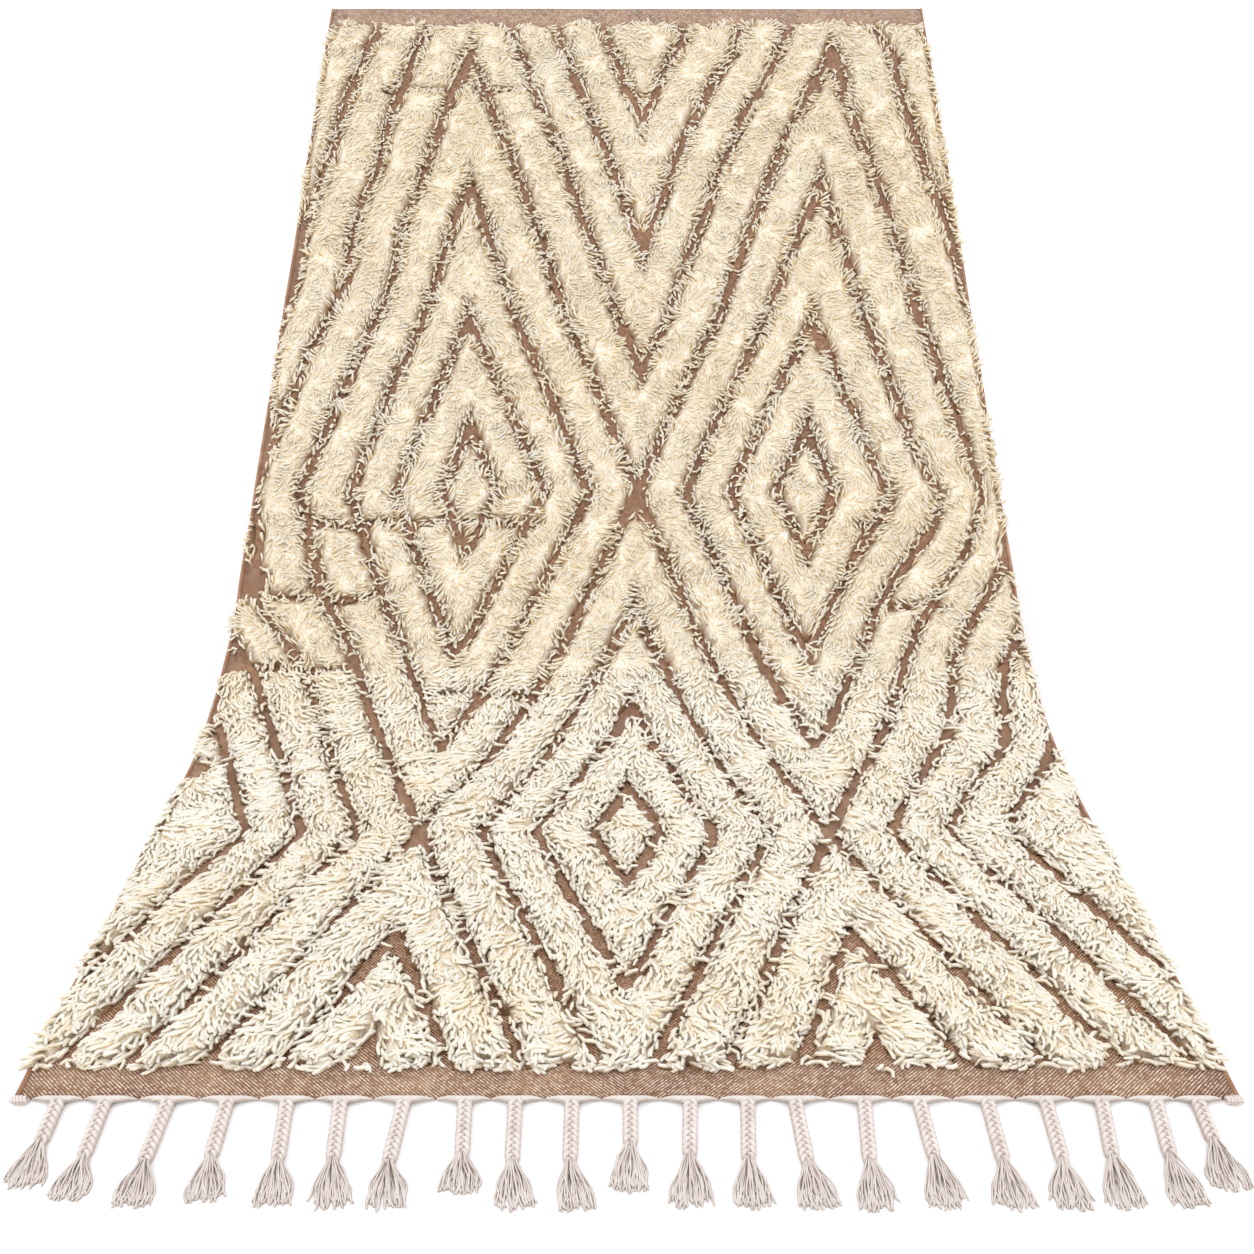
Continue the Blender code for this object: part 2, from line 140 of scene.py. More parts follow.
def lattice(u, s):
    """Lattice column and row of flat positions."""
    for across, up, stray in NUDGES:
        u = u - stray * np.exp(-((u - across) ** 2 + (s - up) ** 2) / NUDGE_REACH ** 2)
    t = np.interp(s, [height for _, height in ROWS], [row for row, _ in ROWS])
    lines = np.array([np.interp(t, *zip(*COLUMNS[column])) for column in sorted(COLUMNS)])
    left = (lines[1:-1] <= u).sum(axis=0)
    near = np.take_along_axis(lines, left[None], 0)[0]
    far = np.take_along_axis(lines, left[None] + 1, 0)[0]
    return left - SIDE_COLUMN + (u - near) / (far - near), t


def ring_value(u, s):
    """Lattice steps from the middle of the nearest diamond: 1 on the diamond's border."""
    a, t = lattice(u, s)
    nearest = np.full(a.shape, np.inf)
    for column, row in CENTRES:
        up = TOP_ROW - t if row == TOP_ROW else abs(t - row)
        if abs(column) == SIDE_COLUMN:
            value = np.where(column * a >= 0, SIDE_COLUMN - abs(a) + up, np.inf)
        else:
            value = abs(a - column) + up
        nearest = np.minimum(nearest, value)
    return nearest


# %% [markdown]
# ## Unevenness
# Nothing on a hand-knotted rug is even, but it isn't rough noise either: neighbours lean the same way and
# the lines swell and pinch over a few centimetres. Smooth noise gives that: random numbers at the corners
# of a grid, eased from one to the next. The seed is fixed, so that each run makes the same rug.

# %% Smooth noise over the cloth
def smooth_noise(u, s, cell, seed):
    """Soft random values from -1 to 1 that change over about one cell."""
    table = np.random.default_rng(seed).uniform(-1, 1, (64, 64))
    x, y = np.asarray(u) / cell + 800.0, np.asarray(s) / cell + 800.0
    i, j = np.floor(x).astype(int), np.floor(y).astype(int)
    fx, fy = x - i, y - j
    fx, fy = fx * fx * (3 - 2 * fx), fy * fy * (3 - 2 * fy)
    corner = lambda di, dj: table[(i + di) % 64, (j + dj) % 64]
    low = corner(0, 0) * (1 - fx) + corner(1, 0) * fx
    high = corner(0, 1) * (1 - fx) + corner(1, 1) * fx
    return low * (1 - fy) + high * fy


def ease(x):
    """0 below 0, 1 above 1, and a soft step between."""
    x = np.clip(x, 0.0, 1.0)
    return x * x * (3 - 2 * x)


# %% [markdown]
# ## Where the ground is bare
# A line is a row or two of missed knots. The feet of the locks stand about 12 mm apart across it, and the
# locks lean over and hide part of that. It swells and pinches, is a little wider over the front, where
# the locks are longer, and opens out where two arms meet in a point. The ground is also bare at the hems,
# at a few places on the selvedges, and as a thin parting at each crease that storage has left.

# %% Distance to bare ground
LINE = 7 * MM                   # mean width of a bare line; the knots keep 2.5 mm clear of it on each side
SWELL, FRONT_SWELL, POINT_SWELL = 0.7, 0.3, 0.8     # shares of that width which are added or taken
POINT_REACH = 30 * MM           # how far the opening at a point runs along its arms
COLUMN_WIDTH = 0.33             # metres from one column of diamonds to the next
FRONT_END, FRONT_FADE = 1.25, 0.35      # the front's longer, looser locks end here, over this length
HEM_WANDER, CREASE_WANDER, CREASE_HALF = 9 * MM, 5 * MM, 2 * MM
SELVEDGE_GAPS = (               # side, middle up the cloth, half the length and the depth of a gap, in metres
    (-1, 1.285, 0.060, 0.055), (-1, 1.095, 0.045, 0.040), (-1, 0.975, 0.070, 0.012),
    (-1, 0.795, 0.045, 0.040), (-1, 1.62, 0.20, 0.014), (-1, 2.15, 0.16, 0.012),
    (1, 0.66, 0.05, 0.022), (1, 1.36, 0.06, 0.018),
)
CREASES = (                     # height up the cloth, and from where to where across it
    (2.71, -0.58, -0.25), (1.425, -0.62, -0.18), (1.42, 0.46, 0.50), (1.25, -0.70, -0.50),
    (1.23, 0.50, 0.60), (1.08, -0.68, -0.50), (1.01, -0.35, -0.15), (0.57, -0.36, -0.30),
)


def at_front(s):
    """1 over the front of the cloth and 0 further up."""
    return ease((FRONT_END - s) / FRONT_FADE)


def to_bare(u, s):
    """Metres from flat positions to the nearest bare ground: negative where the ground is bare."""
    value = ring_value(u, s)
    a, _ = lattice(u, s)
    wander = smooth_noise(u, s, 0.045, 3)
    half_line = LINE / 2 * (1 + SWELL * wander + FRONT_SWELL * at_front(s))
    from_column = abs(a - np.round(a)) * COLUMN_WIDTH
    point = np.exp(-(from_column / POINT_REACH) ** 2)
    nearest = np.full(value.shape, np.inf)
    for ring in RINGS:
        inside = value < ring
        wide = half_line * (1 + POINT_SWELL * point * inside)
        nearest = np.minimum(nearest, abs(value - ring) / STEEPNESS - wide)
    front = s - FRONT_HEM - HEM_WANDER * smooth_noise(u, 0 * s, 0.026, 5)
    top = LENGTH - TOP_HEM - s - HEM_WANDER * smooth_noise(u, 0 * s, 0.03, 6)
    nearest = np.minimum(nearest, np.minimum(front, top))
    for side, middle, reach, depth in SELVEDGE_GAPS:
        cut = depth * ease(1.4 - 1.4 * abs(s - middle) / reach) - 4 * MM
        nearest = np.minimum(nearest, np.where(side * u > 0, HALF - abs(u) - cut, np.inf))
    for height, left, right in CREASES:
        along = np.maximum(np.maximum(left - u, u - right), 0.0)
        drift = s - height - CREASE_WANDER * smooth_noise(u, 0 * s, 0.05, 8)
        nearest = np.minimum(nearest, np.hypot(along, drift) - CREASE_HALF)
    return nearest


grid_u, grid_s = np.meshgrid(np.linspace(-HALF, HALF, 151), np.linspace(0, LENGTH, 304))
print("bare ground", round(float((to_bare(grid_u, grid_s) < 0).mean()) * 100), "% of the cloth")

# %% [markdown]
# ## Colours and nodes
# Colours are written as sRGB hex values, as a colour card gives them. The renderer works with linear
# light, so one function turns them. Another adds one node with its settings and links, which keeps each
# material short. Where a node is given as an input, its first output in use is linked.

# %% Helpers for finishes
MIX_A, MIX_B = 6, 7             # the colour sockets of a Mix node, whose names repeat
BLEND = {"data_type": "RGBA"}           # a Mix node between two colours
TIMES = {"data_type": "RGBA", "blend_type": "MULTIPLY"}     # one that multiplies them


def linear(hex_colour):
    """Linear RGBA from an sRGB hex value."""
    parts = [int(hex_colour[i:i + 2], 16) / 255 for i in (1, 3, 5)]
    return (*[p / 12.92 if p <= 0.04045 else ((p + 0.055) / 1.055) ** 2.4 for p in parts], 1.0)


def connect(node, inputs):
    """Set inputs of a node, each to a number, a colour, a node's output, or a node's first output in use."""
    for name, value in inputs.items():
        socket = node.inputs[name]
        if isinstance(value, bpy.types.Node):
            value = next(output for output in value.outputs if output.enabled)
        if isinstance(value, bpy.types.NodeSocket):
            node.id_data.links.new(value, socket)
        else:
            socket.default_value = value


def add_node(tree, kind, inputs=None, **settings):
    """A node with its settings and links."""
    made = tree.nodes.new("ShaderNode" + kind)
    for name, value in settings.items():
        setattr(made, name, value)
    connect(made, inputs or {})
    return made


def set_stops(ramp_node, *stops):
    """Colours of a ramp node, as rows of position and hex value from 0 to 1."""
    elements = ramp_node.color_ramp.elements
    elements[0].color, elements[-1].color = linear(stops[0][1]), linear(stops[-1][1])
    for position, shade in stops[1:-1]:
        elements.new(position).color = linear(shade)


def new_finish(name, **shader_inputs):
    """A material with a Principled shader, the helper that adds nodes to it, and its shader."""
    made = bpy.data.materials.new(name)
    made.use_nodes = True
    shader = made.node_tree.nodes["Principled BSDF"]
    connect(shader, {name.replace("_", " "): value for name, value in shader_inputs.items()})
    return made, partial(add_node, made.node_tree), shader


# %% [markdown]
# ## Undyed sheep's wool, spun thick and knotted
# The pile is unbleached fleece, hardly twisted and slightly felted. That gives the eye matt cream rounds
# with soft, warm shade between them: light that enters the pile comes back yellower each time it meets a
# fibre. That shade is painted into the colour: golden low in the pile and down the two sides of each lock,
# cream on top. Three attributes on the mesh carry this: the painted light, by height in the pile, the
# place across a lock, and a tone for each lock, because no two handfuls of fleece match; over the front
# the tone is also painted light, a little whiter.

# %% Finish of the pile
FIBRES = 900.0                  # felted fibres to the metre, about 1 mm apart
wool, add, shader = new_finish("undyed_wool_pile_hand_knotted", Roughness=0.9, IOR=1.55,
                               Sheen_Weight=0.35, Sheen_Roughness=0.5)
lift, tone, ends = (add("Attribute", attribute_name=name).outputs["Fac"] for name in ("lift", "tone", "ends"))
# painted shade: the wool is golden low in the pile and cream on top, by the painted light
painted_shade_by_height = add("ValToRGB", {"Fac": lift})
set_stops(painted_shade_by_height, (0.0, "#C6A273"), (0.3, "#E8D3AC"), (0.6, "#F6EDD9"), (0.85, "#F8F4EB"),
          (1.0, "#F8F5EF"))
fleece = add("Mix", {0: tone, MIX_A: linear("#FFFFFF"), MIX_B: linear("#FBF3E2")}, **BLEND)
# painted shade: golden down both sides of each lock, where its neighbours shade it
across = add("Math", {0: ends}, operation="ABSOLUTE")
beside = add("ValToRGB", {"Fac": across})
set_stops(beside, (0.0, "#FFFFFF"), (0.45, "#FFFCF4"), (0.8, "#FAF1DE"), (1.0, "#F0DDB8"))
colour = add("Mix", {0: 1.0, MIX_A: painted_shade_by_height, MIX_B: fleece}, **TIMES)
colour = add("Mix", {0: 1.0, MIX_A: colour, MIX_B: beside}, **TIMES)
where = add("TexCoord").outputs["Object"]
fibres = add("TexNoise", {"Vector": where, "Scale": FIBRES, "Detail": 2.0})
fuzz = add("Bump", {"Height": fibres, "Strength": 0.15, "Distance": 0.6 * MM})
connect(shader, {"Base Color": colour, "Normal": fuzz})
print("finish", wool.name)

# %% [markdown]
# ## The same wool, seen deep in the pile
# Between the locks that lie on top the eye meets more locks, packed side by side and in shade. Modelling
# those too would cost millions of faces, so the mat of knots carries them as a pattern: cells 17 mm long
# and 4 mm wide, laid side by side in clumps, each clump turned its own way, pale along the middle and
# painted golden between, for the shade there. Where the mat dips to bare ground its colour goes to a
# painted dark brown, for the shade at the foot of the pile.

# %% Finish of the mat under the pile
CLUMP, LOCK_ACROSS, LOCK_ALONG = 32 * MM, 4.0 * MM, 17 * MM
BENDS, SWAY = 45.0, 18 * MM     # bends to the metre in the drawn locks, and how far they bend
packed_wool, add, shader = new_finish("undyed_wool_knots_packed", Roughness=0.9, IOR=1.55, Sheen_Weight=0.1)
flat = add("Attribute", attribute_name="flat").outputs["Vector"]
bend = add("TexNoise", {"Vector": flat, "Scale": BENDS, "Detail": 1.0}).outputs["Color"]
bent = add("VectorMath", {0: bend, 1: (SWAY, SWAY, 0.0), 2: flat}, operation="MULTIPLY_ADD")
clump = add("TexVoronoi", {"Vector": bent, "Scale": 1 / CLUMP}, voronoi_dimensions="2D")
fall = add("Math", {0: clump.outputs["Color"], 1: 2 * math.pi}, operation="MULTIPLY")
turned = add("VectorRotate", {"Vector": bent, "Angle": fall}, rotation_type="Z_AXIS")
drawn = add("VectorMath", {0: turned, 1: (1 / LOCK_ALONG, 1 / LOCK_ACROSS, 0.0)}, operation="MULTIPLY")
locks = add("TexVoronoi", {"Vector": drawn, "Scale": 1.0}, voronoi_dimensions="2D",
            feature="DISTANCE_TO_EDGE").outputs["Distance"]
crown = add("MapRange", {"Value": locks, "From Max": 0.32}, interpolation_type="SMOOTHSTEP")
# painted shade: golden between the drawn locks, pale along their middles
shade = add("ValToRGB", {"Fac": crown})
set_stops(shade, (0.0, "#DCC49A"), (0.3, "#EFE4CC"), (0.7, "#F4EDDD"), (1.0, "#F5F0E5"))
depth = add("Attribute", attribute_name="lift").outputs["Fac"]
# painted shade: dark brown where the mat dips to bare ground, by its painted light
painted_foot_shade = add("ValToRGB", {"Fac": depth})
set_stops(painted_foot_shade, (0.0, "#3A2415"), (0.13, "#8A6848"), (0.4, "#FFFFFF"))
colour = add("Mix", {0: 1.0, MIX_A: shade, MIX_B: painted_foot_shade}, **TIMES)
rounds = add("Bump", {"Height": crown, "Strength": 0.4, "Distance": 1.5 * MM})
connect(shader, {"Base Color": colour, "Normal": rounds})
print("finish", packed_wool.name)

# %% [markdown]
# ## Flat-woven brown wool ground
# The ground is a 2/2 twill: each thread passes over two and under two, one step on in the next row, which
# the eye sees as fine slanting ribs. The warp is pale and the weft is brown wool, so the cloth is brown
# with pale flecks. The threads are drawn half as coarse again as they are, because the real ones would
# blur in the render. No two crossings are alike: the pale thread shows more at some and hardly at others,
# the salt and pepper look of hand-spun yarn. The ground between the locks is painted darker, for the
# shade of the pile on it, and darker again further up; the open hems are lighter, out of that shade.

# %% Finish of the ground: where the threads run
THREAD = 2.7 * MM               # drawn pitch of the twill; about 1.8 mm on the real cloth
STRAY = 2.2 * MM                # of the threads, from straight
ground_wool, add, shader = new_finish("brown_wool_ground_flat_woven_twill", Roughness=0.88, IOR=1.55,
                                      Sheen_Weight=0.08)
flat = add("Attribute", attribute_name="flat").outputs["Vector"]
drift = add("TexNoise", {"Vector": flat, "Scale": 60.0, "Detail": 2.0}).outputs["Color"]
wobble = add("VectorMath", {0: drift, 1: (STRAY, STRAY, 0.0), 2: flat}, operation="MULTIPLY_ADD")
threads = add("VectorMath", {0: wobble, 1: (1 / THREAD, 1 / THREAD, 0.0)}, operation="MULTIPLY")
parts = add("SeparateXYZ", {0: threads})
mirrored = add("Math", {0: parts.outputs["X"]}, operation="ABSOLUTE")
slant = add("Math", {0: mirrored, 1: parts.outputs["Y"]}, operation="SUBTRACT")
rib = add("Math", {0: slant, 1: 1.0}, operation="PINGPONG")
pick = add("Math", {0: parts.outputs["Y"], 1: 0.5}, operation="PINGPONG")
relief = add("Math", {0: rib, 1: pick}, operation="MULTIPLY")

# %% Finish of the ground: pale flecks on the brown
slow = add("TexNoise", {"Vector": flat, "Scale": 9.0, "Detail": 3.0})
brown = add("ValToRGB", {"Fac": slow})
set_stops(brown, (0.0, "#4A2C18"), (0.40, "#784B2E"), (0.6, "#8E6343"), (1.0, "#B28C6A"))
fleck = add("MapRange", {"Value": rib, "From Min": 0.36, "From Max": 0.60})
crossing = add("VectorMath", {0: threads}, operation="FLOOR")
crossing = add("TexWhiteNoise", {"Vector": crossing}, noise_dimensions="2D")
uneven = add("MapRange", {"Value": crossing.outputs["Value"], "To Min": 0.1, "To Max": 1.4})
patchy = add("TexNoise", {"Vector": flat, "Scale": 75.0, "Detail": 5.0})
worn = add("MapRange", {"Value": patchy, "From Min": 0.36, "From Max": 0.66, "To Min": 0.5, "To Max": 1.0})
fleck = add("Math", {0: fleck, 1: worn}, operation="MULTIPLY")
fleck = add("Math", {0: fleck, 1: uneven}, operation="MULTIPLY")
woven = add("Mix", {0: fleck, MIX_A: brown, MIX_B: linear("#E6D5C0")}, **BLEND)

# %% Finish of the ground: painted shade between the locks, lighter open hems
HEM_SHADE_EDGE = 0.03                 # metres over which the painted shade of the field gives way to a hem's lighter colour
place = add("SeparateXYZ", {0: flat})
middle = add("Math", {0: place.outputs["Y"], 1: LENGTH / 2}, operation="SUBTRACT")
from_middle = add("Math", {0: middle}, operation="ABSOLUTE")
# painted shade: the ground is darker between the locks than on the open hems, and darker again from 0.6 m up
# the cloth
pile_shade_share = add("MapRange", {"Value": from_middle, "From Min": LENGTH / 2 - FRONT_HEM,
                          "From Max": LENGTH / 2 - FRONT_HEM - HEM_SHADE_EDGE})
upper = add("MapRange", {"Value": place.outputs["Y"], "From Min": 0.6, "From Max": 1.3})
deep = add("Mix", {0: upper, MIX_A: linear("#F0E2D4"), MIX_B: linear("#E0CDBC")}, **BLEND)
painted_ground_shade = add("Mix", {0: pile_shade_share, MIX_A: linear("#FFFFFF"), MIX_B: deep}, **BLEND)
woven = add("Mix", {0: 1.0, MIX_A: woven, MIX_B: painted_ground_shade}, **TIMES)
ribs = add("Bump", {"Height": relief, "Strength": 0.8, "Distance": 1.6 * MM})
connect(shader, {"Base Color": woven, "Normal": ribs})
print("finish", ground_wool.name)

# %% [markdown]
# ## Cotton warp yarn, scoured and plied
# The fringe is the warp itself: plied cotton, whiter and cooler than the wool, dry and matt. Each yarn is
# two plies laid round each other, which shows as fine slanting grooves. The attributes `along`, metres
# down the yarn, and `around`, the share of a turn round it, place the grooves and the painted soft shade
# down a yarn's sides. A yarn is also painted a little darker and warmer close to the floor, for the shade
# where the others lie on it.

# %% Finish of the fringe
PLY_LAY = 7.0 * MM              # one full turn of the plies; about 5 mm on the real yarn
cotton, add, shader = new_finish("white_cotton_warp_plied", Roughness=0.85, IOR=1.53, Sheen_Weight=0.1)
along, around = (add("Attribute", attribute_name=name).outputs["Fac"] for name in ("along", "around"))
turns = add("Math", {0: along, 1: 1 / PLY_LAY, 2: around}, operation="MULTIPLY_ADD")
groove = add("Math", {0: turns, 1: 0.25}, operation="PINGPONG")
where = add("TexCoord").outputs["Object"]
cloudy = add("TexNoise", {"Vector": where, "Scale": 55.0, "Detail": 3.0})
white = add("ValToRGB", {"Fac": cloudy})
set_stops(white, (0.0, "#CEC2BB"), (0.45, "#E6DED9"), (1.0, "#F3EEEB"))
spot = add("SeparateXYZ", {0: add("NewGeometry").outputs["Position"]})
# painted shade: darker and warmer within 2 mm of the floor, where other yarns shade it
depth = add("MapRange", {"Value": spot.outputs["Z"], "From Min": 0.2 * MM, "From Max": 2.0 * MM})
under = add("Mix", {0: depth, MIX_A: linear("#CDB499"), MIX_B: linear("#FFFFFF")}, **BLEND)
yarn = add("Mix", {0: 1.0, MIX_A: white, MIX_B: under}, **TIMES)
turned = add("Math", {0: around, 1: 0.25}, operation="PINGPONG")
# painted shade: darker down both sides of each yarn
sides = add("ValToRGB", {"Fac": turned})
set_stops(sides, (0.0, "#C4B6AB"), (0.12, "#ECE5E0"), (0.25, "#FFFFFF"), (1.0, "#FFFFFF"))
yarn = add("Mix", {0: 1.0, MIX_A: yarn, MIX_B: sides}, **TIMES)
plies = add("Bump", {"Height": groove, "Strength": 0.5, "Distance": 1.4 * MM})
connect(shader, {"Base Color": yarn, "Normal": plies})
print("finish", cotton.name)

# %% [markdown]
# ## Brown wool cord at the selvedge
# Each long side is bound over a cord of the ground's own brown wool, a little redder than the cloth
# because the binding is denser. Its turns are the only pattern.

# %% Finish of the selvedge cord
CORD_LAY = 6.0 * MM             # between two turns of the binding
cord_wool, add, shader = new_finish("brown_wool_selvedge_wrapped", Roughness=0.88, IOR=1.55,
                                    Sheen_Weight=0.08)
along, around = (add("Attribute", attribute_name=name).outputs["Fac"] for name in ("along", "around"))
turns = add("Math", {0: along, 1: 1 / CORD_LAY, 2: around}, operation="MULTIPLY_ADD")
wrap = add("Math", {0: turns, 1: 0.5}, operation="PINGPONG")
where = add("TexCoord").outputs["Object"]
cloudy = add("TexNoise", {"Vector": where, "Scale": 30.0, "Detail": 3.0})
brown = add("ValToRGB", {"Fac": cloudy})
set_stops(brown, (0.0, "#7C5238"), (0.5, "#A1765A"), (1.0, "#CBB098"))
binding = add("Bump", {"Height": wrap, "Strength": 0.6, "Distance": 1.2 * MM})
connect(shader, {"Base Color": brown, "Normal": binding})
print("finish", cord_wool.name)

# %% [markdown]
# ## From arrays to pieces
# A mesh is three lists: points, the corners of the faces, and where each face starts. Handing Blender
# whole arrays is far quicker than adding a face at a time. The helper also gives the piece its finish,
# its attributes and the body that it rides on.

# %% Make a piece from arrays
def put(name, data):
    """An object in the scene, for a mesh, a camera or a lamp."""
    made = bpy.data.objects.new(name, data)
    bpy.context.scene.collection.objects.link(made)
    return made


def make_piece(name, points, faces, finish, slot, **attributes):
    """A smooth mesh piece; faces is a list of arrays, each with one number of corners."""
    faces = [np.asarray(group) for group in faces if len(group)]
    corners = np.concatenate([group.ravel() for group in faces]).astype(np.int32)
    sizes = np.concatenate([np.full(len(group), group.shape[1]) for group in faces])
    mesh = bpy.data.meshes.new(name)
    mesh.vertices.add(len(points))
    mesh.vertices.foreach_set("co", np.asarray(points, np.float32).ravel())
    mesh.loops.add(len(corners))
    mesh.loops.foreach_set("vertex_index", corners)
    mesh.polygons.add(len(sizes))
    starts = np.concatenate(([0], np.cumsum(sizes)[:-1]))
    mesh.polygons.foreach_set("loop_start", starts.astype(np.int32))
    mesh.update(calc_edges=True)
    for attribute, values in attributes.items():
        values = np.asarray(values, np.float32)
        kind, field = ("FLOAT_VECTOR", "vector") if values.ndim == 2 else ("FLOAT", "value")
        mesh.attributes.new(attribute, kind, "POINT").data.foreach_set(field, values.ravel())
    mesh.shade_smooth()
    mesh.materials.append(finish)
    made = put(name, mesh)
    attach(made, "root")
    print(name, len(points), "points", int((sizes - 2).sum()), "triangles")
    return made


def slab(across, up, top, bottom):
    """Points, faces and flat places of a closed slab: a fine grid on top, and one wide face a row below."""
    u, s = np.meshgrid(across, up)
    heights = top(u, s)
    columns, rows = len(across), len(up)
    upper = lie(u, s, heights).reshape(-1, 3)
    ends = np.array([across[0], across[-1]])
    lower_u, lower_s = np.meshgrid(ends, up)
    lower = lie(lower_u, lower_s, bottom + 0 * lower_u).reshape(-1, 3)
    index = np.arange(rows * columns).reshape(rows, columns)
    under = rows * columns + np.arange(rows * 2).reshape(rows, 2)
    quads = np.stack([index[:-1, :-1], index[:-1, 1:], index[1:, 1:], index[1:, :-1]], -1).reshape(-1, 4)
    below = np.stack([under[:-1, 1], under[:-1, 0], under[1:, 0], under[1:, 1]], -1)
    left = np.stack([under[:-1, 0], index[:-1, 0], index[1:, 0], under[1:, 0]], -1)
    right = np.stack([index[:-1, -1], under[:-1, 1], under[1:, 1], index[1:, -1]], -1)
    front = np.concatenate([index[0][::-1], under[0]])[None]
    back = np.concatenate([index[-1], under[-1][::-1]])[None]
    flat_places = np.concatenate([np.stack([u, s, 0 * u], -1).reshape(-1, 3),
                                  np.stack([lower_u, lower_s, 0 * lower_u], -1).reshape(-1, 3)])
    return np.concatenate([upper, lower]), [quads, below, left, right, front, back], flat_places


# %% [markdown]
# ## The woven ground
# The ground is one sheet, 1.50 by 3.03 m before it was drawn up. It could be a plane with thickness from
# a modifier; a grid is made straight onto the lying shape instead, so that it keeps its true size, and so
# that it can buckle by a millimetre where the pile pulls on it.

# %% Weave the ground
EDGE_BUCKLE = 0.8 * MM


def ground_top(u, s):
    """Height of the ground's face, which buckles a little."""
    return GROUND + EDGE_BUCKLE * smooth_noise(u, s, 0.09, 21)


points, faces, places = slab(np.linspace(-HALF, HALF, 41), np.linspace(0.0, LENGTH, 123), ground_top, 0.0)
ground = make_piece("woven_ground", points, faces, ground_wool, "wool_pile", flat=places)
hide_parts("rug")

# %% [markdown]
# ## The bed of knots
# Under the locks that show, the knots and the lower halves of the locks pack into a solid mat. It is made
# as one closed relief that sinks into the ground along every bare line, so no gap in the pile shows empty
# space.

# %% Pack the knots
BED_CELL = 13 * MM              # between two points of its grid
BED = 18 * MM                   # height of the mat, from the underside
BED_INSET = 5.5 * MM            # how far the mat keeps from bare ground and from the cloth's edge
BED_SHOULDER = 13 * MM          # how far in from its rim the mat reaches its height
BED_LUMPS = 3 * MM
BED_FOOT, BED_BOTTOM = 2.5 * MM, 1 * MM     # its face over bare ground and its underside, in the ground
BED_PAST = 6 * MM               # how far its grid runs on under the hems


def bed_top(u, s):
    """Height of the mat: below the ground's surface where the ground is bare."""
    bare = to_bare(u, s) - BED_INSET
    lumps = BED_LUMPS * smooth_noise(u, s, 0.035, 31)
    return np.where(bare > 0, GROUND + (BED - GROUND + lumps) * ease(bare / BED_SHOULDER), BED_FOOT)


bed_across = np.linspace(BED_INSET - HALF, HALF - BED_INSET, round(WIDTH / BED_CELL))
bed_up = np.linspace(FRONT_HEM - BED_PAST, LENGTH - TOP_HEM + BED_PAST,
                     round((LENGTH - FRONT_HEM - TOP_HEM) / BED_CELL))
points, faces, places = slab(bed_across, bed_up, bed_top, BED_BOTTOM)
# painted light of the mat: 0 where it dips to bare ground and its foot is painted dark, 1 at its full height
bed_lift = (bed_top(places[:, 0], places[:, 1]) - GROUND) / (BED - GROUND)
bed = make_piece("pile_bed", points, faces, packed_wool, "wool_pile", flat=places, lift=bed_lift.clip(0, 1))

# %% [markdown]
# ## The locks of the pile
# Each knot leaves a lock of soft yarn about 5 mm thick and 20 to 30 mm long. It stands up, bends over and
# lies on its neighbours, and groups of neighbours fall the same way, in swirls a few centimetres wide. A
# hair system could do this, but it exports as nothing, so every lock is a real closed tube of three
# sides. Smooth shading makes three sides look round at this size. The knots stand in rows, every other
# row half a step on, and each a little off its place.

# %% Plant the knots
PITCH = 7.25 * MM               # mean distance of two knots
ROW_STEP, KNOT_STEP, OFF_PLACE = 0.93, 1.075, 0.35      # as shares of it
CLEAR_OF_LINE = 2.5 * MM        # free of knots on each side of a line
FULL_RIM, LEFT_OUT = 8 * MM, 0.18       # past this rim a share of the knots is left out, to save faces
rng = np.random.default_rng(2024)
row_s = np.arange(FRONT_HEM - 10 * MM, LENGTH - TOP_HEM + 10 * MM, PITCH * ROW_STEP)
row_u = np.arange(-HALF + 5 * MM, HALF - 4 * MM, PITCH * KNOT_STEP)
root_u, root_s = (grid.ravel() for grid in np.meshgrid(row_u, row_s))
every_other = np.repeat(np.arange(len(row_s)) % 2, len(row_u)) - 0.5
root_u = root_u + PITCH * (0.5 * every_other + rng.uniform(-OFF_PLACE, OFF_PLACE, root_u.size))
root_s = root_s + PITCH * rng.uniform(-OFF_PLACE, OFF_PLACE, root_s.size)
root_u = np.clip(root_u, 5 * MM - HALF, HALF - 5 * MM)
bare = to_bare(root_u, root_s)
planted = (bare > CLEAR_OF_LINE) & ((bare < FULL_RIM) | (rng.random(bare.size) > LEFT_OUT))
root_u, root_s, bare = root_u[planted], root_s[planted], bare[planted]
count = root_u.size
print("locks", count)

# %% [markdown]
# Which way a lock falls is the sum of a few pulls: the swirl that its neighbours share, the bare line
# beside it, the selvedge, and the way down to the front hem. `near_line` is 1 beside bare ground and 0
# from 12 mm on, and the two slopes, taken by stepping 3 mm each way, point from the line into the pile.

# %% Comb each lock
PROBE = 3 * MM
BESIDE_LINE, BESIDE_EDGE = 0.012, 0.022     # metres
SWIRL = 0.044                   # metres over which neighbours fall the same way
TO_LINE, TO_EDGE, DOWN, DOWN_AT_FRONT = 0.7, 0.9, 0.2, 0.8      # the pulls, against 1 for the swirl
PARTING = 0.1                   # pulls that sum to less than its root leave a lock unsure
front = at_front(root_s)
slope_u = (to_bare(root_u + PROBE, root_s) - to_bare(root_u - PROBE, root_s)) / (2 * PROBE)
slope_s = (to_bare(root_u, root_s + PROBE) - to_bare(root_u, root_s - PROBE)) / (2 * PROBE)
outward = np.sign(root_u) * ease(1 - (HALF - abs(root_u)) / BESIDE_EDGE)
near_line = ease(1 - bare / BESIDE_LINE)
comb_u = smooth_noise(root_u, root_s, SWIRL, 41) - TO_LINE * near_line * slope_u + TO_EDGE * outward
comb_s = smooth_noise(root_u, root_s, SWIRL, 42) - TO_LINE * near_line * slope_s
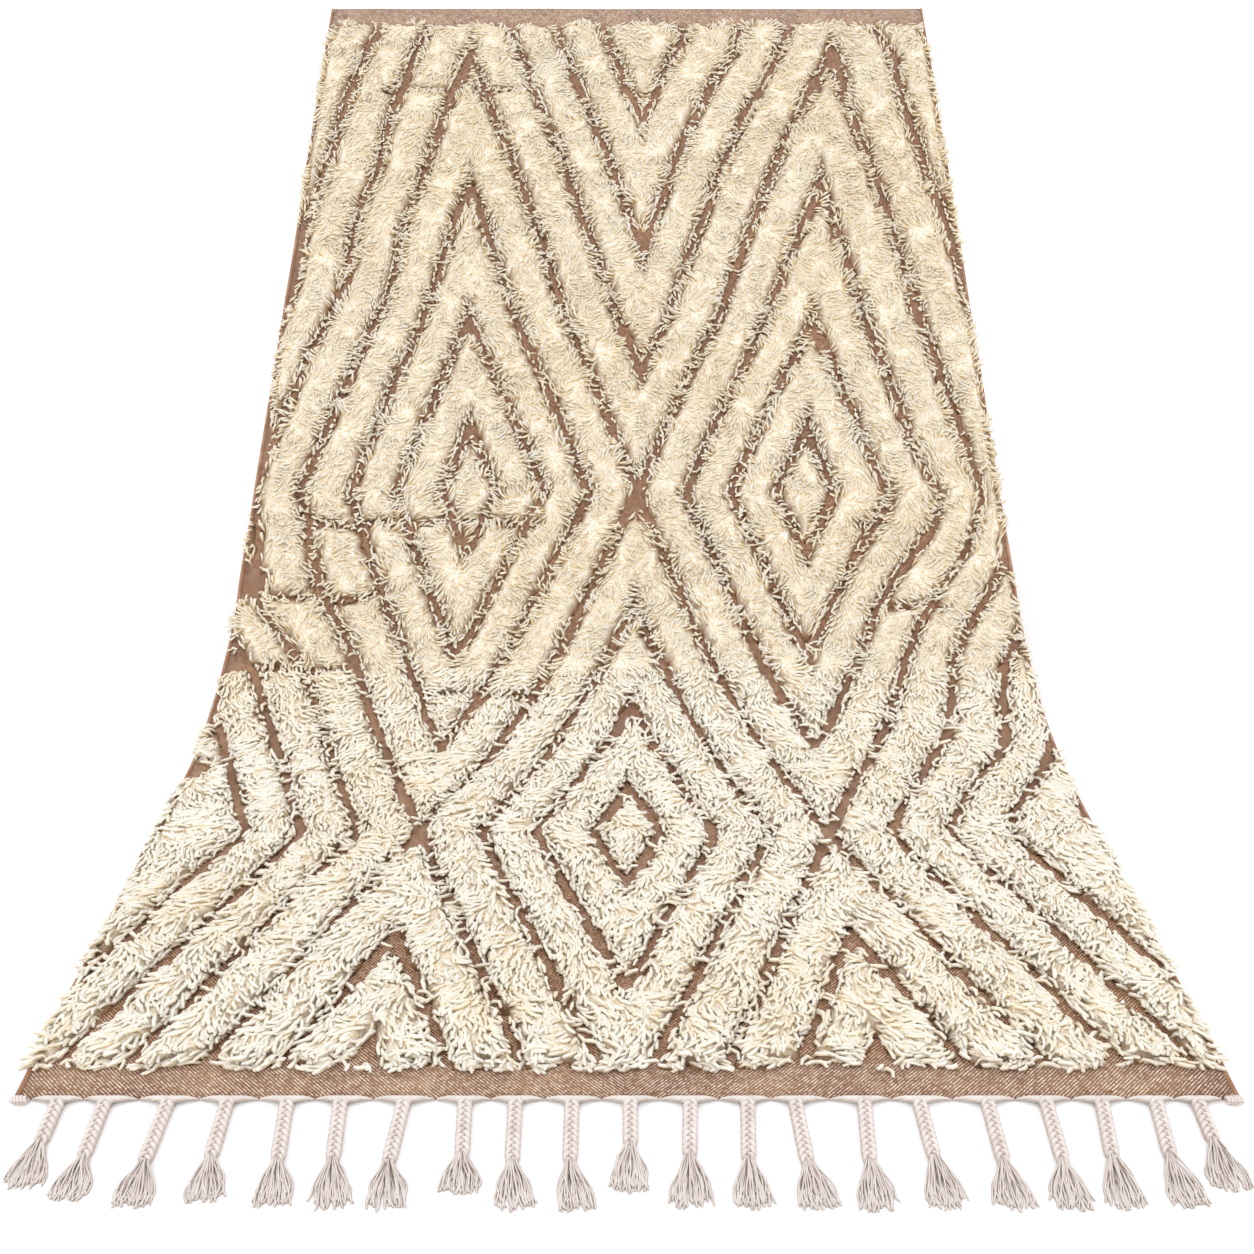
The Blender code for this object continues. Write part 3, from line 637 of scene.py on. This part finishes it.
comb_s = comb_s - DOWN - DOWN_AT_FRONT * front
unsure = np.exp(-(comb_u ** 2 + comb_s ** 2) / PARTING)
heading = np.arctan2(comb_s, comb_u) + rng.normal(0.0, 0.16, count) * (1 + 3 * unsure)
curl = 1.2 * smooth_noise(root_u, root_s, SWIRL, 43) + rng.normal(0.0, 0.4, count)

# %% [markdown]
# Each lock also has its own length, thickness and bow. It leaves its knot at `rise_start` degrees and
# ends at `rise_end`, which is below level where it hangs over a hem. `layer` is how high it rests on the
# others. The locks of the front are longer and thicker; the locks beside a line stand up first and then
# tip over.

# %% Shape each lock
HEM_DEPTH = 22 * MM             # of the front hem's own rows of knots
LENGTHS, RADII = (22, 9, -2), (2.7, 0.5)    # mm: everywhere, more at the front, more beside a line
root_h = np.maximum(bed_top(root_u, root_s) - (3 + 2 * front) * MM, GROUND - 1 * MM)
lock_length = (LENGTHS[0] + LENGTHS[1] * front + LENGTHS[2] * near_line) * MM
lock_length = lock_length * (1 + 0.16 * rng.standard_normal(count)).clip(0.6, 1.5)
at_hem = root_s < FRONT_HEM + HEM_DEPTH
rise_start = rng.uniform(15 + 10 * front, 50 - 5 * front, count)
rise_start = np.radians(rise_start + (np.where(at_hem, 50, 70) - rise_start) * near_line)
rise_end = rng.normal(2, 12 - 4 * front, count)
rise_end = np.radians(rise_end + np.where(at_hem, -55, -15) * near_line - 12 * front)
layer = rng.uniform(0, 3 + 4 * near_line, count) * MM
lock_radius = (RADII[0] + RADII[1] * front) * MM * (1 + 0.1 * rng.standard_normal(count)).clip(0.75, 1.25)

# %% [markdown]
# A lock may hang over bare ground only a little, or it would hide the pattern: a lock that reaches too
# far is turned back towards the pile, lifted and shortened, a little in each of seven rounds. Over the
# hems the locks hang further, as nothing holds them back there.

# %% Turn back the locks that hang too far
ROUNDS = 7
TURN_BACK, LIFT, SHORTEN = 0.4, math.radians(5), 0.96       # in one round
STEEPEST = math.radians(60)     # for the end of a lock
hang = rng.uniform(-1, 3, count) * MM
hang = np.where(at_hem | (root_s > LENGTH - TOP_HEM - 20 * MM), rng.uniform(2, 14, count) * MM, hang)
for _ in range(ROUNDS):
    deepest = np.full(count, np.inf)
    for share in (0.5, 0.75, 1.0):
        reach = np.cos(rise_start / 2 + rise_end / 2) * share * lock_length
        swung = heading + curl * (share - 0.6)
        at = to_bare(root_u + reach * np.cos(swung), root_s + reach * np.sin(swung))
        deepest = np.minimum(deepest, at)
    too_far = deepest < -hang
    inward = np.arctan2(np.sin(heading) + TURN_BACK * slope_s, np.cos(heading) + TURN_BACK * slope_u)
    heading = np.where(too_far, inward, heading)
    rise_end = np.where(too_far, np.minimum(rise_end + LIFT, STEEPEST), rise_end)
    lock_length = np.where(too_far, SHORTEN * lock_length, lock_length)
print("mean lock", (lock_length.mean() / MM).round(1), "mm")

# %% [markdown]
# A lock grows step by step from its knot: each step goes a little less steeply up and turns a little
# further round. The ring at each step is three points square to the lock's own direction. Three profiles
# put the faces where they show: four rings and a round tip over the front, near the eye, three and a tip
# along the lines further up, where ends stand against brown ground, and two rings in the field there.

# %% Grow the locks
REACH = 10 * MM                 # the furthest a lock stands out past the selvedge
SINK = 2 * MM                   # the least height of a lock's middle above the bare ground
CORNERS = ((-0.95, -0.5), (0.0, 0.85), (0.95, -0.5))     # of a ring, across and over, as shares of the radius
# The profiles say where along a lock each ring sits, and its size as a share of the radius; size 0 is a tip.
AT_LINES = ((0.0, 0.85), (0.45, 1.0), (0.94, 0.8), (1.0, 0.0))
IN_FRONT = ((0.0, 0.85), (0.3, 1.0), (0.62, 1.0), (0.93, 0.8), (1.0, 0.0))
IN_FIELD = ((0.0, 0.95), (1.0, 0.85))
roll = rng.normal(0.0, 0.45, count)


def grow(chosen, profile):
    """Cloth coordinates of the points of the chosen locks: three a ring, and the tip."""
    u, s, h = root_u[chosen], root_s[chosen], root_h[chosen]
    centres, steps = [(u, s, h)], []
    for (near, _), (far, _) in zip(profile, profile[1:]):
        middle = (near + far) / 2
        turn = heading[chosen] + curl[chosen] * (2 * middle - 0.6)
        climb = rise_start[chosen] + (rise_end[chosen] - rise_start[chosen]) * middle ** 0.8
        step = lock_length[chosen] * (far - near)
        way = np.stack([np.cos(climb) * np.cos(turn), np.cos(climb) * np.sin(turn), np.sin(climb)], -1)
        u = np.clip(u + step * np.cos(climb) * np.cos(turn), -HALF - REACH, HALF + REACH)
        s = s + step * np.cos(climb) * np.sin(turn)
        seat = np.maximum(bed_top(u, s), GROUND + SINK) + layer[chosen]
        h = np.maximum(h + step * np.sin(climb), seat)
        centres.append((u, s, h))
        steps.append(way)
    points = []
    for k, (_, size) in enumerate(profile):
        if size == 0:
            points.append(np.stack(centres[k], -1))
            continue
        tangent = steps[max(k - 1, 0)] + steps[min(k, len(steps) - 1)]
        tangent /= np.linalg.norm(tangent, axis=-1, keepdims=True)
        side = np.stack([-tangent[:, 1], tangent[:, 0], 0 * tangent[:, 0]], -1)
        side /= np.linalg.norm(side, axis=-1, keepdims=True) + 1e-9
        over = np.cross(tangent, side)
        for beside, above in CORNERS:
            sideways = beside * np.cos(roll[chosen]) - above * np.sin(roll[chosen])
            upward = beside * np.sin(roll[chosen]) + above * np.cos(roll[chosen])
            offset = sideways[:, None] * side + upward[:, None] * over
            points.append(np.stack(centres[k], -1) + (size * lock_radius[chosen])[:, None] * offset)
    return np.stack(points, 1)


# %% [markdown]
# The yellow shade is painted: it sits low in the pile and the pale wool lies on top. So the painted
# light runs from 0, a few millimetres below the surface of the mat, to 1 a few above it, and is less near
# the root of each lock. Over the front the locks lie looser and let more light in, so the shade starts
# deeper there. `ends` is nearly -1 and 1 along the two sides of a lock and 0 along its top; the finish
# paints shade down the sides.

# %% Join the locks into pieces
SHADE_BELOW, SHADE_ABOVE = 7 * MM, 5 * MM       # of the mat's surface
DEEPER_AT_FRONT = 5 * MM
AT_ROOT, MORE_AT_FRONT = 0.3, 0.35      # share of the light that the root of a lock gets
LIT_FROM = 0.7                  # share of a lock's length from which on it is fully lit
TIP_SIDE = 0.35                 # `ends` at a round tip
LOWEST = 0.5 * MM               # of any point of a lock, so that none comes out below the cloth
MOST_TRIANGLES = 196_000        # in one piece
PATCH = 0.2                     # metres across a patch of one tone
# each lock's tone of fleece varies in patches and at random; over the front the locks are also painted
# whiter, as painted light for the weaker lamp light on the flat front
lock_tone = 0.5 + 0.35 * smooth_noise(root_u, root_s, PATCH, 51) + rng.normal(0, 0.25, count) - 0.3 * front
lock_tone = lock_tone.clip(0, 1)


def plant(name, chosen, profile):
    """Pieces of the chosen locks, from the front to the top of the rug."""
    chosen = chosen[np.argsort(root_s[chosen], kind="stable")]
    rings = sum(size > 0 for _, size in profile)
    corners = 3 * rings + (rings < len(profile))
    quads = np.array([(r + i, r + (i + 1) % 3, r + 3 + (i + 1) % 3, r + 3 + i)
                      for r in range(0, 3 * rings - 3, 3) for i in range(3)])
    last = 3 * rings - 3
    tip = [(last, last + 1, last + 2)]
    if rings < len(profile):
        tip = [(last + i, last + (i + 1) % 3, last + 3) for i in range(3)]
    ends = np.array([(2, 1, 0)] + tip)
    beside = np.array([across for across, _ in CORNERS] * rings + [TIP_SIDE] * (corners % 3))
    shares = [share for share, size in profile for _ in range(3 if size else 1)]
    from_root = ease(np.array(shares) / LIT_FROM)
    parts = math.ceil(len(chosen) * (2 * len(quads) + len(ends)) / MOST_TRIANGLES)
    for number, members in enumerate(np.array_split(chosen, parts), 1):
        flat_points = grow(members, profile)
        height = np.maximum(flat_points[..., 2], LOWEST)
        above = height - bed_top(flat_points[..., 0], flat_points[..., 1])
        loose = front[members][:, None]
        # painted light: less towards the root of each lock, more over the looser front
        lit_along_lock = AT_ROOT + MORE_AT_FRONT * loose + (1 - AT_ROOT - MORE_AT_FRONT * loose) * from_root
        below = SHADE_BELOW + DEEPER_AT_FRONT * loose
        first = np.arange(len(members))[:, None, None] * corners
        make_piece(
            f"{name}_{number}", lie(flat_points[..., 0], flat_points[..., 1], height).reshape(-1, 3),
            [(quads[None] + first).reshape(-1, 4), (ends[None] + first).reshape(-1, 3)], wool, "wool_pile",
            lift=(((above + below) / (SHADE_ABOVE + below)).clip(0, 1) * lit_along_lock).ravel(),
            tone=np.repeat(lock_tone[members], corners), ends=np.tile(beside, len(members)))


AT_EDGE = 6 * MM                # a lock rooted this near bare ground shows its end
in_front = front > 0.5
at_lines = (bare < AT_EDGE) & ~in_front
plant("pile_front", np.flatnonzero(in_front), IN_FRONT)
plant("pile_at_lines", np.flatnonzero(at_lines), AT_LINES)
plant("pile_field", np.flatnonzero(~in_front & ~at_lines), IN_FIELD)

# %% [markdown]
# ## Yarns and cords
# The selvedge cord, the plaits, the gathers and the loose yarns are all tubes round a line. One helper
# sweeps a ring of points down a line; many tubes are then joined into one piece.

# %% Sweep a tube along a line
def tube(line, radius, sides=6, flatten=1.0, floor=None):
    """Points, quads, caps, `along` and `around` of a closed tube; radius is one number or one a point."""
    line = np.asarray(line, float)
    radius = np.broadcast_to(np.asarray(radius, float), (len(line),))
    tangent = np.gradient(line, axis=0)
    tangent /= np.linalg.norm(tangent, axis=1, keepdims=True)
    side = np.cross(tangent, (0.0, 0.0, 1.0))
    side /= np.linalg.norm(side, axis=1, keepdims=True)
    over = np.cross(side, tangent)
    angles = np.arange(sides) * 2 * np.pi / sides
    cosine, sine = np.cos(angles)[None, :, None], np.sin(angles)[None, :, None]
    ring = cosine * side[:, None] + flatten * sine * over[:, None]
    points = line[:, None] + radius[:, None, None] * ring
    if floor is not None:
        points[..., 2] = np.maximum(points[..., 2], floor)
    index = np.arange(len(line) * sides).reshape(len(line), sides)
    beside = np.roll(index, -1, axis=1)
    quads = np.stack([index[:-1], beside[:-1], beside[1:], index[1:]], -1).reshape(-1, 4)
    caps = np.stack([index[0][::-1], index[-1]])
    lengths = np.concatenate(([0.0], np.cumsum(np.linalg.norm(np.diff(line, axis=0), axis=1))))
    around = np.tile(angles / (2 * np.pi), len(line))
    return points.reshape(-1, 3), quads, caps, np.repeat(lengths, sides), around


def join_tubes(name, tubes, finish, slot):
    """One piece from many tubes, all with the same number of sides."""
    start, quads, caps = 0, [], []
    for points, tube_quads, tube_caps, *_ in tubes:
        quads.append(tube_quads + start)
        caps.append(tube_caps + start)
        start += len(points)
    points, along, around = (np.concatenate([swept[part] for swept in tubes]) for part in (0, 3, 4))
    return make_piece(name, points, [np.concatenate(quads), np.concatenate(caps)], finish, slot,
                      along=along, around=around)


# %% [markdown]
# ## The selvedge cords
# Each long side is bound round a cord about 7 mm thick, which shows where the pile is thin.

# %% Lay the selvedge cords
CORD_RADIUS = 3.4 * MM
CORD_STRAY = 1.5 * MM           # how far the hand-laid cord wanders
cord_s = np.linspace(2 * MM, LENGTH - 1 * MM, 240)
for name, side, seed in (("selvedge_cord_left", -1, 61), ("selvedge_cord_right", 1, 62)):
    cord_u = side * (HALF - 1 * MM) + CORD_STRAY * smooth_noise(cord_s, 0 * cord_s, 0.12, seed)
    line = lie(cord_u, cord_s, CORD_RADIUS + 0 * cord_s)
    join_tubes(name, [tube(line, CORD_RADIUS, sides=8)], cord_wool, "wool_pile")

# %% [markdown]
# ## The gathered warp ends
# The warp leaves the hem all along its length. About a dozen ends to each side of a plait run in along
# the hem and stack up as they reach it, so each gather is a lens of yarns, thin at its outer end and
# thick at the plait. The table gives where each plait starts, where it ends and where its loose end lies,
# as on the solids.

# %% Places of the tassels
TASSELS = (
    # start, end, tip across the rug, then the plait's and the loose end's length, all in mm
    (-693, -690, -689, 66, 74), (-636, -632, -633, 91, 66), (-559, -559, -558, 100, 68),
    (-487, -484, -477, 91, 70), (-414, -405, -398, 96, 72), (-349, -341, -328, 96, 75),
    (-272, -276, -269, 99, 73), (-197, -192, -189, 88, 60), (-136, -133, -122, 99, 73),
    (-67, -66, -54, 99, 76), (4, 4, 3, 70, 75), (77, 73, 74, 88, 80), (147, 141, 142, 96, 74),
    (205, 209, 219, 100, 71), (289, 281, 281, 99, 75), (356, 357, 361, 91, 79), (439, 436, 437, 98, 74),
    (510, 505, 500, 98, 74), (578, 564, 560, 92, 79), (644, 632, 635, 89, 79), (695, 691, 690, 64, 80),
)
KNOB_LENGTH = 25 * MM
starts = [row[0] * MM for row in TASSELS]
ends_x = HALF - KNOB_LENGTH + 4 * MM
meets = [-ends_x] + [(a + b) / 2 for a, b in zip(starts, starts[1:])] + [ends_x]
neck_y = front_hem_y - 2 * GAP - FRINGE_DEPTH

# %% Gather the warp ends
GATHER_YARNS = 6                # to each side of a plait, each standing for two ends
GATHER_RADIUS = 1.9 * MM
GATHER_SWELL = (0.6, 0.9, 1.05, 1.15, 1.2, 1.2, 1.15, 1.0)      # of the radius, towards the plait
draw = random.Random(71)
gathers = []
for left, start, right in zip(meets, starts, meets[1:]):
    for outer in (left, right):
        side = 1 if outer > start else -1
        reach = abs(outer - start)
        for k in range(GATHER_YARNS):
            share = k / (GATHER_YARNS - 1)
            far = start + side * (0.5 + 0.5 * (1 - share) ** 0.5) * reach * draw.uniform(0.96, 0.985)
            near = start - side * draw.uniform(0, 4) * MM
            deep = GATHER_RADIUS + (FRINGE_DEPTH - 2.4 * GATHER_RADIUS) * share
            high = 3.2 * MM + 4.6 * MM * math.sin(math.pi * (0.2 + 0.55 * share))
            line = []
            for step in np.linspace(0.0, 1.0, len(GATHER_SWELL)):
                fill = float(ease(min(step * 1.9 + 0.12, 1.0))) ** 0.7
                line.append((far + (near - far) * step,
                             front_hem_y - GAP - GATHER_RADIUS - (deep - GATHER_RADIUS) * fill,
                             GATHER_RADIUS + (high - GATHER_RADIUS) * fill))
            gathers.append(tube(line, GATHER_RADIUS * np.array(GATHER_SWELL), sides=6, floor=0.0))
header = join_tubes("gathered_warp_ends", gathers, cotton, "cotton_fringe")
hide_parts("warp_header")

# %% [markdown]
# ## The plaits
# A flat plait of three strands: seen from above each strand swings from side to side as a sine, and it
# passes over, then under, twice in that time. The three are a third of a swing apart.

# %% Plait the fringe
STRAND_RADIUS = 3.7 * MM
SWING = 5.8 * MM                # from side to side
DIP = 3.3 * MM                  # over and under
PLAIT_LAY = 30 * MM             # one full swing
PLAIT_POINTS = 44               # along each strand
draw = random.Random(73)


def plait_frame(row):
    """Start and end of a plait, the direction of the loose end, and that end's length, for one tassel."""
    start_x, end_x, tip_x, plait, loose = (value * MM for value in row)
    start = Vector((start_x, neck_y, 0.0))
    end = Vector((end_x, start.y - math.sqrt(plait ** 2 - (end_x - start_x) ** 2), 0.0))
    down = Vector((tip_x - end_x, -math.sqrt(loose ** 2 - (tip_x - end_x) ** 2), 0.0)).normalized()
    return start, end, down, loose


for number, row in enumerate(TASSELS, 1):
    start, end, down, loose = plait_frame(row)
    run = (end - start).normalized()
    side = Vector((-run.y, run.x, 0.0))
    length = (end - start).length + 6 * MM
    phase = draw.uniform(0, 2 * math.pi)
    strands = []
    for strand in range(3):
        line = []
        for step in np.linspace(0.0, 1.0, PLAIT_POINTS):
            angle = phase + 2 * math.pi * (step * length / PLAIT_LAY + strand / 3)
            pinch = 1 - 0.3 * ease((step - 0.88) / 0.12)
            middle = start + run * (step * length - 4 * MM) + side * (SWING * pinch * math.sin(angle))
            line.append((middle.x, middle.y, 5.6 * MM + DIP * pinch * math.sin(2 * angle)))
        thick = STRAND_RADIUS * (1 - 0.25 * ease((np.linspace(0, 1, PLAIT_POINTS) - 0.85) / 0.15))
        strands.append(tube(line, thick, sides=7, flatten=0.85, floor=0.0))
    join_tubes(f"plait_{number:02d}", strands, cotton, "cotton_fringe")

# %% [markdown]
# ## The loose ends
# Below the plait the yarns are free. They leave the neck in a round bundle, fan out, and lie on the
# floor, some on top of others, with uneven cut ends that hook a little to one side.

# %% Fan out the loose yarns
LOOSE_YARNS = 32                # to each tassel
LOOSE_RADIUS = 1.3 * MM
FAN_WIDTH = 44 * MM             # across the cut ends
draw = random.Random(79)
for number, row in enumerate(TASSELS, 1):
    start, end, down, loose = plait_frame(row)
    side = Vector((-down.y, down.x, 0.0))
    yarns = []
    for k in range(LOOSE_YARNS):
        share = (k + 0.5) / LOOSE_YARNS * 2 - 1 + draw.uniform(-0.12, 0.12)
        layer = draw.random()
        reach = (loose - 5 * MM * share ** 2) * draw.uniform(0.8, 1.0)
        waves = [(draw.uniform(0.3, 1.4) * MM, draw.uniform(4, 13), draw.uniform(0, 6.28))
                 for _ in range(2)]
        hook = draw.uniform(-5, 5) * MM
        line = []
        for step in np.linspace(0.0, 1.0, 9):
            spread = (0.22 + 0.78 * float(ease(1.25 * step)) ** 0.8) * FAN_WIDTH / 2
            wiggle = sum(size * math.sin(phase + pace * step) for size, pace, phase in waves)
            wiggle *= min(1.0, 2.5 * step)
            wiggle += hook * max(0.0, step - 0.7) ** 2 * 10
            middle = end + down * (reach * step - 3 * MM) + side * (share * spread + wiggle)
            bulge = 7.0 * MM * (1 - step) ** 1.3 + 4.2 * MM * math.sin(math.pi * min(1.0, step + 0.25)) ** 2
            line.append((middle.x, middle.y, LOOSE_RADIUS + bulge * layer))
        yarns.append(tube(line, LOOSE_RADIUS * draw.uniform(0.85, 1.15), sides=4, floor=0.0))
    fan = join_tubes(f"loose_yarns_{number:02d}", yarns, cotton, "cotton_fringe")
    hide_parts(f"tassel_{number:02d}")

# %% [markdown]
# ## The corner knobs
# At each front corner the selvedge cord ends in a few turns of cotton, wound tight into a small spool.

# %% Wind the corner knobs
KNOB_TURNS = 5
KNOB_GIRTH, KNOB_YARN = 3.4 * MM, 2.6 * MM      # radius of the turns at the middle, and of the yarn
for name, side in (("corner_knob_left", -1), ("corner_knob_right", 1)):
    middle_x = side * (HALF + 4 * MM - KNOB_LENGTH / 2)
    line = []
    for step in np.linspace(0.0, 1.0, 80):
        angle = 2 * math.pi * KNOB_TURNS * step
        girth = KNOB_GIRTH * math.sin(math.pi * (0.12 + 0.76 * step)) ** 0.5
        line.append((middle_x + (step - 0.5) * (KNOB_LENGTH - 5 * MM),
                     front_hem_y - 7 * MM + girth * math.cos(angle), 6 * MM + girth * math.sin(angle)))
    spool = tube(line, KNOB_YARN, sides=7, floor=0.0)
    knob = join_tubes(f"wound_{name}", [spool], cotton, "cotton_fringe")
    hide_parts(name)

# %% [markdown]
# ## Studio
# The photograph is a bright packshot with hardly a shadow: a white sky all round, one large soft light
# high in front, and a white floor. The camera stands at the eye height of a seated person, looks a little
# down, and has no depth blur.

# %% Camera
CAMERA_HEIGHT, CAMERA_BACK = 1.280, 1.441       # above the floor, and in front of the hem
LENS, SENSOR = 43.06, 36.0      # mm
LOOK_DOWN = 24.12               # degrees
camera = put("camera", bpy.data.cameras.new("camera"))
camera.data.sensor_width = SENSOR
camera.data.lens = LENS
camera.location = (0.0, front_hem_y - CAMERA_BACK, CAMERA_HEIGHT)
camera.rotation_euler = (math.radians(90 - LOOK_DOWN), 0.0, 0.0)
bpy.context.scene.camera = camera

# %% Floor and light
FLOOR_REACH, FLOOR_Z = 140.0, -0.5 * MM     # it ends out of sight, just below the rug
floor_finish, *_ = new_finish("pale_studio_floor", Roughness=1.0, Specular_IOR_Level=0.0,
                              Base_Color=linear("#FFFFFF"))
mesh = bpy.data.meshes.new("studio_floor")
corners = ((-1, -1), (1, -1), (1, 1), (-1, 1))
mesh.from_pydata([(x * FLOOR_REACH, y * FLOOR_REACH, FLOOR_Z) for x, y in corners], [], [(0, 1, 2, 3)])
mesh.materials.append(floor_finish)
floor = put("studio_floor", mesh)
floor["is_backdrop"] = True

world = bpy.data.worlds.new("white_sky")
world.use_nodes = True
connect(world.node_tree.nodes["Background"], {"Color": linear("#FDFDFF"), "Strength": 1.19})
bpy.context.scene.world = world

lamp = bpy.data.lights.new("soft_key", "SUN")
lamp.energy = 0.45
lamp.angle = math.radians(40)
key = put("soft_key", lamp)
key.rotation_euler = (math.radians(36), math.radians(-12), 0.0)
bpy.context.scene.view_settings.view_transform = "Standard"

# %% Finish
low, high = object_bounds()
